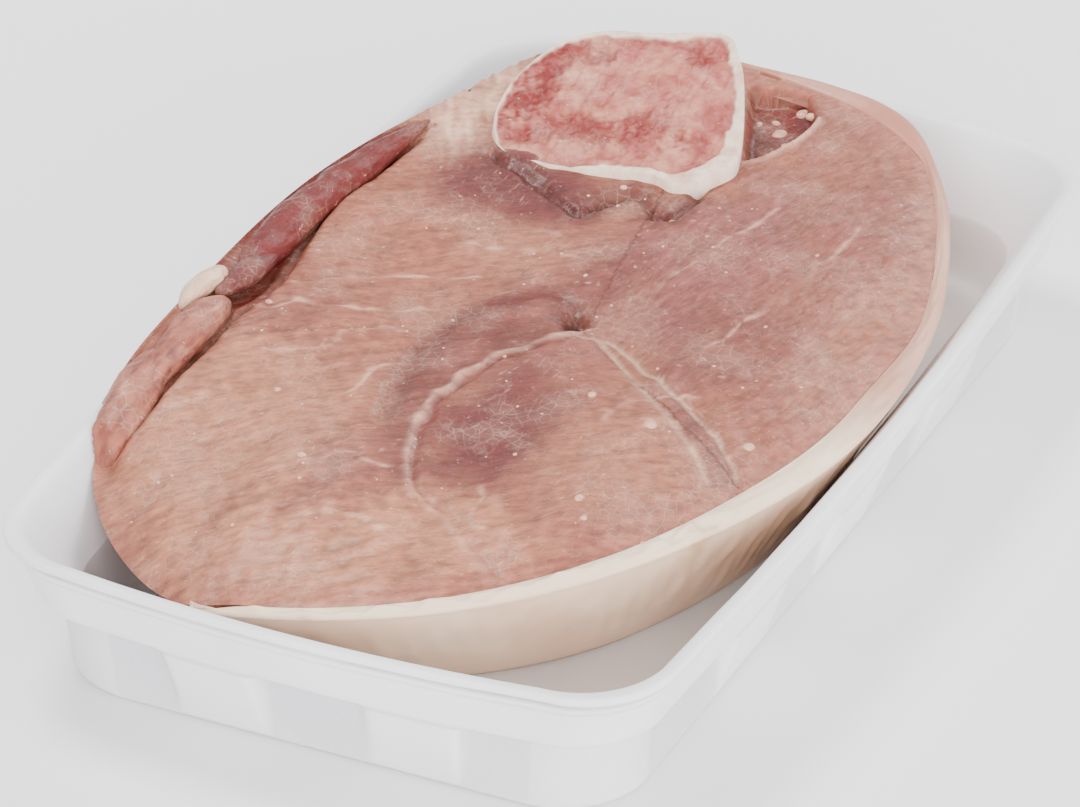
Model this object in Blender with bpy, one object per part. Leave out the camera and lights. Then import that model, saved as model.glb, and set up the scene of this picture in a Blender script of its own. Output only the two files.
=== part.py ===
"""Bone-in leg slice of meat on a foam tray: tray, lean meat, fat band and bone."""

import math

import bpy

MM = 0.001
GAP = 0.3

# Foam tray
TRAY_HALF_X = 65.4
TRAY_HALF_Y = 109.9
TRAY_CORNER_R = 17.5
TRAY_BOW = 3.2
RIM_Z = 31.0
LIP_T = 1.8
LIP_OVERHANG = 1.1
LEDGE_Z = 17.0
LEDGE_INSET = 4.5
RECESS_DEPTH = 3.0
BASE_INSET = 8.9
FLOOR_Z = 3.4
CORNER_STEPS = 7
WEDGES_LONG = ((0.0, 13.0), (48.5, 12.5))
WEDGES_SHORT = ((22.3, 10.3),)
WEDGE_FLANK = 2.5

# Slice of meat
MEAT_FOOT_Z = 3.8
AROUND = 84
TOP_RINGS = 13
SIDE_RINGS = 5
FOOT_RINGS = 2
CENTRE = (-2.0, -3.0)
FACE_Z = 37.6
FACE_RISE_Y = 0.022
FACE_DOME = 5.0

# name of the stretch, plan position of the upper edge, its height, width of fat there
EDGE = (
    ("right", 65.2, -6.0, 32.5, 6.0),
    ("right far", 63.0, 28.0, 33.0, 6.5),
    ("far corner", 54.5, 57.0, 33.5, 6.0),
    ("far turn", 42.5, 81.5, 35.0, 5.5),
    ("back right", 25.5, 99.0, 37.5, 6.0),
    ("back", -4.0, 100.5, 39.5, 3.2),
    ("back left", -38.0, 91.5, 41.0, 0.0),
    ("shank", -53.0, 55.0, 41.5, 0.0),
    ("flap root", -62.5, 22.0, 40.5, 0.0),
    ("flap", -65.5, -14.0, 38.5, 0.0),
    ("flap end", -66.0, -52.0, 34.0, 0.0),
    ("left corner", -57.5, -77.0, 25.0, 0.0),
    ("front left", -34.0, -99.0, 24.0, 2.6),
    ("front", -9.0, -104.0, 28.5, 3.0),
    ("front right", 20.0, -92.5, 31.0, 4.0),
    ("near corner", 43.5, -69.5, 32.5, 5.0),
    ("right near", 59.0, -37.0, 32.5, 6.0),
)
FOOT_SHARE = (0.77, 0.8)
FOOT_SHIFT = (-1.5, 1.0)
CREASE_X = -51.0
CREASE_SPAN = (-74.0, 46.0)
CREASE_DEPTH = 3.2
CREASE_WIDTH = 3.6
FLAP_SINK = 2.0

# Bone: outline of its sawn face, which leans towards the front
BONE_EDGE = (
    (9.3, 61.8),
    (3.5, 77.0),
    (-1.5, 85.5),
    (-7.0, 90.3),
    (-20.0, 86.8),
    (-31.0, 84.0),
    (-38.0, 77.5),
    (-41.7, 67.0),
    (-41.0, 56.0),
    (-35.5, 48.3),
    (-25.0, 46.4),
    (-13.0, 48.8),
    (-4.5, 50.0),
    (2.2, 49.2),
    (7.6, 55.0),
)
BONE_CENTRE = (-16.0, 67.0)
BONE_Z = 44.6
BONE_LEAN = 0.27
BONE_STEPS = 45
BONE_FOOT_SHARE = 0.86
BONE_FOOT_SHIFT = (0.0, -9.0)

for old in list(bpy.data.objects):
    bpy.data.objects.remove(old, do_unlink=True)


def material(name, colour, roughness):
    made = bpy.data.materials.new(name)
    made.use_nodes = True
    shader = made.node_tree.nodes["Principled BSDF"]
    shader.inputs["Base Color"].default_value = (*colour, 1.0)
    shader.inputs["Roughness"].default_value = roughness
    return made


def add_solid(name, points, faces, mat):
    mesh = bpy.data.meshes.new(name)
    mesh.from_pydata([tuple(c * MM for c in p) for p in points], [], faces)
    mesh.validate()
    mesh.materials.append(mat)
    obj = bpy.data.objects.new(name, mesh)
    bpy.context.scene.collection.objects.link(obj)
    return obj


def loft(rings, close_first, close_last):
    """Faces between equal rings of points, wound so that they face out when the rings run
    anticlockwise from the bottom of the outside, up, and down the inside."""
    count = len(rings[0])
    faces = []
    for k in range(len(rings) - 1):
        for i in range(count):
            j = (i + 1) % count
            faces.append((k * count + i, k * count + j, (k + 1) * count + j, (k + 1) * count + i))
    if close_first:
        faces.append(tuple(reversed(range(count))))
    if close_last:
        start = (len(rings) - 1) * count
        faces.append(tuple(range(start, start + count)))
    return faces


def wedge_share(along, wedges):
    """1 in a recessed panel, 0 on a wedge that is flush with the band above."""
    for middle, half in wedges:
        if abs(abs(along) - middle) <= half + 0.01:
            return 0.0
    return 1.0


def side_stations(wedges, reach):
    """Positions along half a side where its outline or a wedge edge needs a point."""
    marks = {0.0, reach * 0.52}
    for middle, half in wedges:
        for edge in (middle - half, middle + half):
            if edge > 0:
                marks.add(edge)
                marks.add(edge + (WEDGE_FLANK if edge > middle else -WEDGE_FLANK))
        marks.add(middle)
    kept = sorted(m for m in marks if m < reach - 2)
    return [-m for m in reversed(kept) if m > 0] + kept


LONG_REACH = TRAY_HALF_Y - TRAY_CORNER_R
SHORT_REACH = TRAY_HALF_X - TRAY_CORNER_R
LONG_MARKS = side_stations(WEDGES_LONG, LONG_REACH)
SHORT_MARKS = side_stations(WEDGES_SHORT, SHORT_REACH)


def tray_ring(z, inset, recess=0.0):
    """One level of the tray: a rounded rectangle whose sides bow out more towards the rim."""
    bow = TRAY_BOW * z / RIM_Z
    ring = []

    def place(half_x, half_y, radius, kind, value, turn):
        if kind == "corner":
            angle = math.radians(turn * 90 + 90 * value)
            sign = ((1, 1), (-1, 1), (-1, -1), (1, -1))[turn]
            x = sign[0] * (half_x - radius) + radius * math.cos(angle)
            y = sign[1] * (half_y - radius) + radius * math.sin(angle)
            return x, y
        if turn in (0, 2):
            side = 1 if turn == 0 else -1
            share = value / LONG_REACH
            y = side * share * (half_y - radius)
            return side * (half_x + bow * (1 - share ** 2)), y
        side = -1 if turn == 1 else 1
        share = value / SHORT_REACH
        x = side * share * (half_x - radius)
        return x, -side * (half_y + bow * (1 - share ** 2))

    for turn in range(4):
        marks = LONG_MARKS if turn in (0, 2) else SHORT_MARKS
        wedges = WEDGES_LONG if turn in (0, 2) else WEDGES_SHORT
        for value in marks:
            deep = inset + recess * wedge_share(value, wedges)
            radius = TRAY_CORNER_R - 0.15 * deep
            ring.append((*place(TRAY_HALF_X - deep, TRAY_HALF_Y - deep, radius, "side", value, turn), z))
        for step in range(CORNER_STEPS + 1):
            deep = inset + recess
            radius = TRAY_CORNER_R - 0.15 * deep
            share = step / CORNER_STEPS
            ring.append((*place(TRAY_HALF_X - deep, TRAY_HALF_Y - deep, radius, "corner", share, turn), z))
    return ring


# (height, inset, share of the recess) from the base up the outside, over the lip, down the inside
OUTSIDE = (
    (0.0, BASE_INSET + 1.0, 0.0),
    (1.0, BASE_INSET, 0.0),
    (LEDGE_Z - 0.5, LEDGE_INSET + 0.1, RECESS_DEPTH),
    (LEDGE_Z, LEDGE_INSET, 0.0),
    (RIM_Z - LIP_T, LIP_OVERHANG, 0.0),
    (RIM_Z - LIP_T, 0.0, 0.0),
    (RIM_Z - 0.3, 0.0, 0.0),
    (RIM_Z, 0.3, 0.0),
)
INSIDE = (
    (RIM_Z, 1.9),
    (RIM_Z - 1.0, 3.0),
    (RIM_Z - 4.0, 4.8),
    (LEDGE_Z, 10.4),
    (8.0, 11.8),
    (FLOOR_Z + 1.4, 12.8),
    (FLOOR_Z, 14.8),
)


def build_tray():
    rings = [tray_ring(z, inset, recess) for z, inset, recess in OUTSIDE]
    rings += [tray_ring(z, inset) for z, inset in INSIDE]
    faces = loft(rings, True, True)
    return add_solid("tray", sum(rings, []), faces, material("tray_foam", (0.86, 0.86, 0.86), 0.55))


def inner_inset(z):
    for (high, inset_high), (low, inset_low) in zip(INSIDE, INSIDE[1:]):
        if low <= z <= high:
            return inset_low + (inset_high - inset_low) * (z - low) / (high - low)
    return 0.0


def ray_radius(ring, angle):
    """Distance from CENTRE to the ring along a plan direction."""
    dx, dy = math.cos(angle), math.sin(angle)
    best = 1e9
    for (x1, y1, _), (x2, y2, _) in zip(ring, ring[1:] + ring[:1]):
        ex, ey = x2 - x1, y2 - y1
        cross = dx * ey - dy * ex
        if abs(cross) < 1e-9:
            continue
        px, py = x1 - CENTRE[0], y1 - CENTRE[1]
        along = (px * ey - py * ex) / cross
        share = (px * dy - py * dx) / cross
        if along > 0 and -1e-9 <= share <= 1 + 1e-9:
            best = min(best, along)
    return best


def catmull(p0, p1, p2, p3, t):
    return 0.5 * (
        2 * p1 + (p2 - p0) * t + (2 * p0 - 5 * p1 + 4 * p2 - p3) * t * t + (3 * p1 - p0 - 3 * p2 + p3) * t ** 3
    )


def edge_curve(samples=480):
    """The upper edge of the slice, as (angle, radius, height, fat width), smooth and closed."""
    count = len(EDGE)
    found = []
    for s in range(samples):
        where = s * count / samples
        k = int(where)
        four = [EDGE[(k + d) % count][1:] for d in (-1, 0, 1, 2)]
        x, y, z, fat = (catmull(*(p[c] for p in four), where - k) for c in range(4))
        x -= CENTRE[0]
        y -= CENTRE[1]
        found.append((math.atan2(y, x) % math.tau, math.hypot(x, y), z, max(fat, 0.0)))
    return sorted(found)


CURVE = edge_curve()


def edge_at(angle):
    angle %= math.tau
    after = next((k for k, row in enumerate(CURVE) if row[0] > angle), 0)
    low, high = CURVE[after - 1], CURVE[after]
    span = (high[0] - low[0]) % math.tau
    share = ((angle - low[0]) % math.tau) / span
    return [a + (b - a) * share for a, b in zip(low[1:], high[1:])]


def smooth(value):
    value = min(max(value, 0.0), 1.0)
    return value * value * (3 - 2 * value)


def side_point(angle, share):
    """A point of the slanting side, share 0 at the foot and 1 at the upper edge."""
    radius, top, _ = edge_at(angle)
    x_top = CENTRE[0] + radius * math.cos(angle)
    y_top = CENTRE[1] + radius * math.sin(angle)
    x_foot = x_top * FOOT_SHARE[0] + FOOT_SHIFT[0]
    y_foot = y_top * FOOT_SHARE[1] + FOOT_SHIFT[1]
    z = MEAT_FOOT_Z + (top - MEAT_FOOT_Z) * share
    x = x_foot + (x_top - x_foot) * share
    y = y_foot + (y_top - y_foot) * share
    turn = math.atan2(y - CENTRE[1], x - CENTRE[0])
    reach = math.hypot(x - CENTRE[0], y - CENTRE[1])
    if z < RIM_Z + 0.4:
        wall = ray_radius(tray_ring(min(z, RIM_Z), inner_inset(min(z, RIM_Z))), turn)
        reach = min(reach, wall - 1.1)
    return CENTRE[0] + reach * math.cos(turn), CENTRE[1] + reach * math.sin(turn), z


def face_height(x, y, share, edge_z):
    """Height of the cut face: nearly flat, rolling over at its edge, with the flap's crease on the left."""
    flat = FACE_Z + FACE_RISE_Y * y
    z = flat + (edge_z - flat) * share ** FACE_DOME
    low, high = CREASE_SPAN
    along = smooth((y - low) / 18) * smooth((high - y) / 18)
    beyond = smooth((CREASE_X - x) / 5)
    groove = math.exp(-(((x - CREASE_X) / CREASE_WIDTH) ** 2))
    return z - along * (CREASE_DEPTH * groove + FLAP_SINK * beyond * (1 - share ** 6))


def inward(point, width):
    """The point moved towards CENTRE by the width."""
    dx, dy = point[0] - CENTRE[0], point[1] - CENTRE[1]
    reach = math.hypot(dx, dy)
    return CENTRE[0] + dx * (1 - width / reach), CENTRE[1] + dy * (1 - width / reach), point[2]


def build_lean(mat):
    angles = [math.tau * i / AROUND for i in range(AROUND)]
    rings = []
    for k in range(1, FOOT_RINGS + 1):
        ring = []
        for a in angles:
            x, y, z = side_point(a, 0.0)
            x, y, z = inward((x, y, z), lean_inset(a))
            share = k / FOOT_RINGS
            ring.append((CENTRE[0] + (x - CENTRE[0]) * share, CENTRE[1] + (y - CENTRE[1]) * share, z))
        rings.append(ring)
    for k in range(1, SIDE_RINGS + 1):
        rings.append([inward(side_point(a, k / SIDE_RINGS), lean_inset(a)) for a in angles])
    for k in range(1, TOP_RINGS):
        share = (1 - k / TOP_RINGS) ** 0.85
        ring = []
        for i, a in enumerate(angles):
            x, y, edge_z = rings[FOOT_RINGS + SIDE_RINGS - 1][i]
            px = CENTRE[0] + (x - CENTRE[0]) * share
            py = CENTRE[1] + (y - CENTRE[1]) * share
            ring.append((px, py, face_height(px, py, share, edge_z)))
        rings.append(ring)
    points = sum(rings, [])
    faces = loft(rings, False, False)
    foot = len(points)
    points.append((*CENTRE, MEAT_FOOT_Z))
    top = len(points)
    points.append((*CENTRE, face_height(*CENTRE, 0.0, FACE_Z)))
    last = (len(rings) - 1) * AROUND
    for i in range(AROUND):
        j = (i + 1) % AROUND
        faces.append((j, i, foot))
        faces.append((last + i, last + j, top))
    return add_solid("lean_meat", points, faces, mat)


def lean_inset(angle):
    fat = edge_at(angle)[2]
    return fat + GAP if fat > 0.05 else 0.0


def build_fat(mat):
    """The band of fat and rind: a crescent that runs through the whole thickness."""
    start, end = FAT_SPAN
    steps = 64
    levels = SIDE_RINGS
    sections = []
    for i in range(steps + 1):
        a = start + (end - start) * i / steps
        width = edge_at(a)[2]
        outer = [side_point(a, k / levels) for k in range(levels + 1)]
        inner = [inward(p, width) for p in outer]
        sections.append(outer + inner[::-1])
    count = len(sections[0])
    points = sum(sections, [])
    faces = []
    for i in range(steps):
        for k in range(count):
            m = (k + 1) % count
            faces.append((i * count + k, (i + 1) * count + k, (i + 1) * count + m, i * count + m))
    faces.append(tuple(range(count)))
    faces.append(tuple(steps * count + k for k in reversed(range(count))))
    return add_solid("fat_band", points, faces, mat)


def fat_span():
    """First and last plan angle where the fat is at least 1.6 mm wide, going anticlockwise."""
    steps = 720
    wide = [edge_at(math.tau * i / steps)[2] >= 1.6 for i in range(steps)]
    first = next(i for i in range(steps) if wide[i] and not wide[i - 1])
    last = first
    while wide[(last + 1) % steps]:
        last += 1
    return math.tau * first / steps, math.tau * last / steps


FAT_SPAN = fat_span()


def bone_ring(z_share, grow):
    """The sawn outline drawn in and moved towards the foot; share 0 at the foot, 1 at the sawn face."""
    ring = []
    size = BONE_FOOT_SHARE + (1 - BONE_FOOT_SHARE) * z_share
    count = len(BONE_EDGE)
    for i in range(BONE_STEPS):
        where = i * count / BONE_STEPS
        k = int(where)
        four = [BONE_EDGE[(k + d) % count] for d in (-1, 0, 1, 2)]
        x, y = (catmull(*(p[c] for p in four), where - k) for c in range(2))
        x -= BONE_CENTRE[0]
        y -= BONE_CENTRE[1]
        top = BONE_Z + BONE_LEAN * y
        wider = size * (1 + grow / math.hypot(x, y))
        ring.append((
            BONE_CENTRE[0] + x * wider + BONE_FOOT_SHIFT[0] * (1 - z_share),
            BONE_CENTRE[1] + y * wider + BONE_FOOT_SHIFT[1] * (1 - z_share),
            MEAT_FOOT_Z + (top - MEAT_FOOT_Z) * z_share,
        ))
    return ring


def build_bone(name, grow, low, high, mat):
    levels = 5
    rings = []
    for k in range(levels + 1):
        share = low + (high - low) * k / levels
        rings.append(bone_ring(share, grow))
    return add_solid(name, sum(rings, []), loft(rings, True, True), mat)


lean_red = material("lean_red", (0.56, 0.30, 0.27), 0.4)
fat_cream = material("fat_cream", (0.80, 0.71, 0.62), 0.45)
bone_red = material("bone_marrow", (0.70, 0.42, 0.38), 0.5)

build_tray()
lean = build_lean(lean_red)
build_fat(fat_cream)
build_bone("bone", 0.0, 0.0, 1.0, bone_red)

cutter = build_bone("bone_cutter", GAP + 0.1, -0.2, 1.3, bone_red)
cutter.hide_render = True
cutter.display_type = "WIRE"
cut = lean.modifiers.new("bone hole", "BOOLEAN")
cut.operation = "DIFFERENCE"
cut.solver = "EXACT"
cut.object = cutter
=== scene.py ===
import math
import bmesh
import bpy
import numpy as np
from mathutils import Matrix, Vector


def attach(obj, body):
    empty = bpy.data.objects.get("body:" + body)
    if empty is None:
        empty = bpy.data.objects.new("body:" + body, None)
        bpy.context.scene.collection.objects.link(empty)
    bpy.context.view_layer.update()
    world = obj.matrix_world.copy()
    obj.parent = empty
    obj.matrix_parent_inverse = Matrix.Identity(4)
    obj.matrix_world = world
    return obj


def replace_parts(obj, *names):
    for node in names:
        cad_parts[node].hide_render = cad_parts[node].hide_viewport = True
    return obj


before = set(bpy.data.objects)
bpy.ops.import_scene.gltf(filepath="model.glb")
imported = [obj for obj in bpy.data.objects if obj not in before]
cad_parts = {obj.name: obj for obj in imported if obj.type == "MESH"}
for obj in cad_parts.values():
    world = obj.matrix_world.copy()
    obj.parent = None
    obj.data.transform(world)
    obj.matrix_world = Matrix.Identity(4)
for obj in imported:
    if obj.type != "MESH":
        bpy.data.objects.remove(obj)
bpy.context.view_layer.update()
mm = 0.001

# Smooth step of v held between 0 and 1.
def smooth(v):
    v = np.clip(v, 0.0, 1.0)
    return v * v * (3 - 2 * v)


# Soft random field of about that feature size: a sum of sines, each of random direction, length
# and phase.
def waves(x, y, size, seed, terms=14):
    rng = np.random.default_rng(seed)
    total = np.zeros(np.broadcast(x, y).shape)
    for _ in range(terms):
        angle, phase = rng.uniform(0, math.tau, 2)
        length = size * rng.uniform(0.6, 1.8)
        total += np.sin((x * math.cos(angle) + y * math.sin(angle)) * math.tau / length + phase)
    return total / math.sqrt(terms)


# Curve through the points: a Catmull-Rom spline, cut into equal shares of its parameter.
def smoothPath(points, steps, closed=False):
    p = np.asarray(points, float)
    n = len(p)
    if not closed:
        p = np.vstack([2 * p[0] - p[1], p, 2 * p[-1] - p[-2]])
    where = np.linspace(0, n if closed else n - 1, steps, endpoint=not closed)
    k = np.minimum(where.astype(int), (n if closed else n - 1) - 1)
    t = (where - k)[:, None]
    a, b, c, d = (p[(k + s) % len(p)] for s in ((-1, 0, 1, 2) if closed else (0, 1, 2, 3)))
    return 0.5 * (2 * b + (c - a) * t + (2 * a - 5 * b + 4 * c - d) * t * t
            + (3 * b - a - 3 * c + d) * t ** 3)


# For each point: distance to the path, the share along it of the nearest place, and the side,
# which is + on the left.
def pathField(x, y, path):
    best = np.full(x.shape, 1e9)
    along = np.zeros(x.shape)
    side = np.zeros(x.shape)
    n = len(path) - 1
    for i in range(n):
        (ax, ay), (bx, by) = path[i][:2], path[i + 1][:2]
        ex, ey = bx - ax, by - ay
        t = np.clip(((x - ax) * ex + (y - ay) * ey) / (ex * ex + ey * ey), 0, 1)
        dx, dy = x - ax - t * ex, y - ay - t * ey
        d = np.hypot(dx, dy)
        near = d < best
        best = np.where(near, d, best)
        along = np.where(near, (i + t) / n, along)
        side = np.where(near, np.sign(ex * dy - ey * dx), side)
    return best, along, side


# 1 at distance 0, falling smoothly to nothing over about twice the width.
def bell(d, width):
    return np.exp(-(d / width) ** 2)


# A mesh from a grid of points in millimetres, indexed [v, u], with colour fields per point.
def gridPiece(name, p, mat, closeU=False, fields=None, uv=None):
    rows, cols = p.shape[:2]
    index = np.arange(rows * cols).reshape(rows, cols)
    right = np.roll(index, -1, 1) if closeU else index[:, 1:]
    left = index if closeU else index[:, :-1]
    quads = np.stack([left[:-1], right[:-1], right[1:], left[1:]], -1).reshape(-1, 4)
    mesh = bpy.data.meshes.new(name)
    mesh.vertices.add(rows * cols)
    mesh.vertices.foreach_set("co", (p.reshape(-1) * mm).astype(np.float32))
    mesh.loops.add(quads.size)
    mesh.loops.foreach_set("vertex_index", quads.reshape(-1).astype(np.int32))
    mesh.polygons.add(len(quads))
    mesh.polygons.foreach_set("loop_start", (np.arange(len(quads)) * 4).astype(np.int32))
    mesh.polygons.foreach_set("loop_total", np.full(len(quads), 4, np.int32))
    mesh.polygons.foreach_set("use_smooth", np.ones(len(quads), bool))
    mesh.update(calc_edges=True)
    for key, value in (fields or {}).items():
        made = mesh.color_attributes.new(key, "FLOAT_COLOR", "POINT")
        rgba = np.ones((rows * cols, 4), np.float32)
        rgba[:, :3] = value.reshape(-1, 3)
        made.data.foreach_set("color", rgba.reshape(-1))
    if uv is not None:
        layer = mesh.uv_layers.new(name="grain")
        layer.data.foreach_set("uv", uv.reshape(-1, 2)[quads.reshape(-1)].astype(np.float32).reshape(-1))
    mesh.materials.append(mat)
    obj = bpy.data.objects.new(name, mesh)
    bpy.context.scene.collection.objects.link(obj)
    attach(obj, "root")
    return obj


# Linear light from a display colour of 0 to 255.
def linear(colour):
    c = np.asarray(colour, float) / 255
    return np.where(c <= 0.04045, c / 12.92, ((c + 0.055) / 1.055) ** 2.4)


# Blend of two colours or colour fields by a field of shares.
def mix(a, b, share):
    share = np.clip(share, 0, 1)[..., None]
    return a * (1 - share) + b * share


# Short ways to add and join shader nodes in one material.
class Nodes:
    def __init__(self, name):
        self.mat = bpy.data.materials.new(name)
        self.mat.use_nodes = True
        self.tree = self.mat.node_tree
        self.shader = self.tree.nodes["Principled BSDF"]

    def add(self, kind, **settings):
        node = self.tree.nodes.new(kind)
        for key, value in settings.items():
            setattr(node, key, value)
        return node

    def join(self, out, into):
        self.tree.links.new(out, into)

    # Noise texture, with the coordinates stretched first where asked.
    def noise(self, coords, scale, detail=4.0, rough=0.55, stretch=None):
        if stretch is not None:
            mapping = self.add("ShaderNodeMapping")
            mapping.inputs["Scale"].default_value = stretch
            self.join(coords, mapping.inputs["Vector"])
            coords = mapping.outputs["Vector"]
        node = self.add("ShaderNodeTexNoise")
        node.inputs["Scale"].default_value = scale
        node.inputs["Detail"].default_value = detail
        node.inputs["Roughness"].default_value = rough
        self.join(coords, node.inputs["Vector"])
        return node.outputs["Fac"]

    def remap(self, value, low, high, outLow, outHigh):
        node = self.add("ShaderNodeMapRange")
        for key, number in (("From Min", low), ("From Max", high), ("To Min", outLow), ("To Max", outHigh)):
            node.inputs[key].default_value = number
        self.join(value, node.inputs["Value"])
        return node.outputs["Result"]

    def math(self, operation, a, b):
        node = self.add("ShaderNodeMath", operation=operation)
        for k, v in enumerate((a, b)):
            if isinstance(v, (int, float)):
                node.inputs[k].default_value = v
            else:
                self.join(v, node.inputs[k])
        return node.outputs[0]

    # Mix of two colours, each a socket or three numbers.
    def blend(self, a, b, share, mode="MIX"):
        node = self.add("ShaderNodeMix", data_type="RGBA", blend_type=mode)
        for socket, v in ((node.inputs[6], a), (node.inputs[7], b)):
            if isinstance(v, bpy.types.NodeSocket):
                self.join(v, socket)
            else:
                socket.default_value = (*v, 1.0)
        if isinstance(share, (int, float)):
            node.inputs[0].default_value = share
        else:
            self.join(share, node.inputs[0])
        return node.outputs[2]

    # Chain of bumps, each (height socket, strength, distance in metres).
    def bumps(self, *layers):
        normal = None
        for height, strength, distance in layers:
            bump = self.add("ShaderNodeBump")
            bump.inputs["Strength"].default_value = strength
            bump.inputs["Distance"].default_value = distance
            self.join(height, bump.inputs["Height"])
            if normal is not None:
                self.join(normal, bump.inputs["Normal"])
            normal = bump.outputs["Normal"]
        self.join(normal, self.shader.inputs["Normal"])


# White foam: faint mottling, fine closed-cell bumps, a dull sheen.
def foamMaterial():
    m = Nodes("tray foam")
    coords = m.add("ShaderNodeTexCoord").outputs["Object"]
    broad = m.noise(coords, 28, 3)
    fine = m.noise(coords, 900, 3)
    tone = m.add("ShaderNodeAttribute", attribute_name="tone").outputs["Color"]
    tone = m.blend(tone, tuple(linear(trayLook["shade"])), m.remap(broad, 0.3, 0.7, 0.6, 0), "MULTIPLY")
    tone = m.blend(tone, tuple(linear(trayLook["fleck"])), m.remap(fine, 0.62, 0.75, 0, 0.35))
    m.join(tone, m.shader.inputs["Base Color"])
    m.join(m.remap(broad, 0.3, 0.7, 0.42, 0.58), m.shader.inputs["Roughness"])
    m.shader.inputs["Subsurface Weight"].default_value = 0.15
    m.shader.inputs["Subsurface Radius"].default_value = (0.004, 0.004, 0.004)
    m.bumps((broad, 0.25, 0.0006), (fine, 0.25, 0.00012))
    return m.mat


# Raw cut surface: colour from the piece's own field, streaked along the grain, wet and fine-grained.
def fleshMaterial(name, look):
    m = Nodes(name)
    tone = m.add("ShaderNodeAttribute", attribute_name="tone").outputs["Color"]
    grain = m.add("ShaderNodeUVMap", uv_map="grain").outputs["UV"]
    coords = m.add("ShaderNodeTexCoord").outputs["Object"]
    streak = m.noise(grain, look["streakScale"], 5, 0.62, look["stretch"])
    blotch = m.noise(coords, look["blotchScale"], 4, 0.6)
    speck = m.noise(coords, look["speckScale"], 3, 0.6)
    cells = m.add("ShaderNodeTexVoronoi", feature="DISTANCE_TO_EDGE")
    cells.inputs["Scale"].default_value = look["cellScale"]
    warp = m.add("ShaderNodeVectorMath", operation="ADD")
    m.join(grain, warp.inputs[0])
    drift = m.add("ShaderNodeTexNoise")
    drift.inputs["Scale"].default_value = look["cellScale"] * 0.7
    m.join(grain, drift.inputs["Vector"])
    scaled = m.add("ShaderNodeVectorMath", operation="SCALE")
    scaled.inputs["Scale"].default_value = 0.5 / look["cellScale"]
    m.join(drift.outputs["Color"], scaled.inputs[0])
    m.join(scaled.outputs[0], warp.inputs[1])
    m.join(warp.outputs[0], cells.inputs["Vector"])
    cell = cells.outputs["Distance"]
    dark = m.blend(tone, tuple(linear(look["dark"])),
            m.remap(streak, 0.42, 0.7, 0.0, look["darkShare"]), "MULTIPLY")
    pale = m.blend(dark, tuple(linear(look["pale"])), m.remap(blotch, 0.5, 0.75, 0.0, look["paleShare"]))
    thread = m.remap(cell, 0.0, 0.06, look["threadShare"], 0.0)
    pale = m.blend(pale, tuple(linear(look["thread"])),
            m.math("MULTIPLY", thread, m.remap(blotch, 0.45, 0.6, 0.0, 1.0)))
    pale = m.blend(pale, tuple(linear(look["thread"])), m.remap(speck, 0.66, 0.76, 0.0, look["speckShare"]))
    m.join(pale, m.shader.inputs["Base Color"])
    m.join(m.remap(streak, 0.3, 0.7, look["roughLow"], look["roughHigh"]), m.shader.inputs["Roughness"])
    m.shader.inputs["Specular IOR Level"].default_value = look["specular"]
    m.shader.inputs["Subsurface Weight"].default_value = look["under"]
    m.shader.inputs["Subsurface Radius"].default_value = (0.003, 0.0012, 0.0009)
    m.shader.inputs["Coat Weight"].default_value = look["coat"]
    m.shader.inputs["Coat Roughness"].default_value = look["coatRough"]
    m.bumps((streak, look["bumpStreak"], 0.0006), (cell, look["bumpCell"], 0.0004),
            (speck, look["bumpSpeck"], 0.0002))
    return m.mat


traySet = {
    "halfX": 65.4, "halfY": 109.9, "cornerR": 17.5, "bow": 3.2, "rimZ": 31.0,
    "wedgesLong": ((0.0, 13.0), (48.5, 12.5)), "wedgesShort": ((22.3, 10.3),), "flank": 2.4,
    "around": (150, 80, 30),  # points on a long side, a short side and a corner
    # height, inset, recess: from the base up the outside, over the lip and down the inside
    "outside": ((0.0, 9.9, 0.0), (1.2, 8.9, 0.0), (16.3, 4.65, 3.0), (17.0, 4.5, 0.0), (26.1, 2.15, 0.0),
                (26.5, 1.75, 0.0), (29.2, 1.1, 0.0), (29.2, 0.05, 0.0), (30.9, 0.0, 0.0),
                (31.0, 0.35, 0.0)),
    "inside": ((31.0, 1.9, 0.0), (30.0, 3.0, 0.0), (27.0, 4.8, 0.0), (17.2, 10.2, 0.0), (16.4, 10.7, 0.0),
               (8.0, 11.8, 0.0), (4.4, 12.8, 0.0), (3.4, 15.2, 0.0)),
}
# Foam colours. The grey panel colour and the dark line colour are painted shade and shadow on the outside;
# the pink colour for the inner walls is painted reflection and shade from the meat.
trayLook = {"light": (240, 240, 241), "shade": (231, 231, 234), "fleck": (247, 247, 247),
            "panel": (198, 198, 204), "line": (128, 128, 126), "meatReflection": (236, 224, 222)}


# Marks round the tray: which stretch each belongs to and its place on it.
def trayAround():
    nLong, nShort, nCorner = traySet["around"]
    marks = []
    for turn in range(4):
        n = nLong if turn % 2 == 0 else nShort
        marks += [(turn, 0, v) for v in np.linspace(-1, 1, n)]
        marks += [(turn, 1, v) for v in np.linspace(0, 1, nCorner + 2)[1:-1]]
    return np.array(marks)


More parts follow.
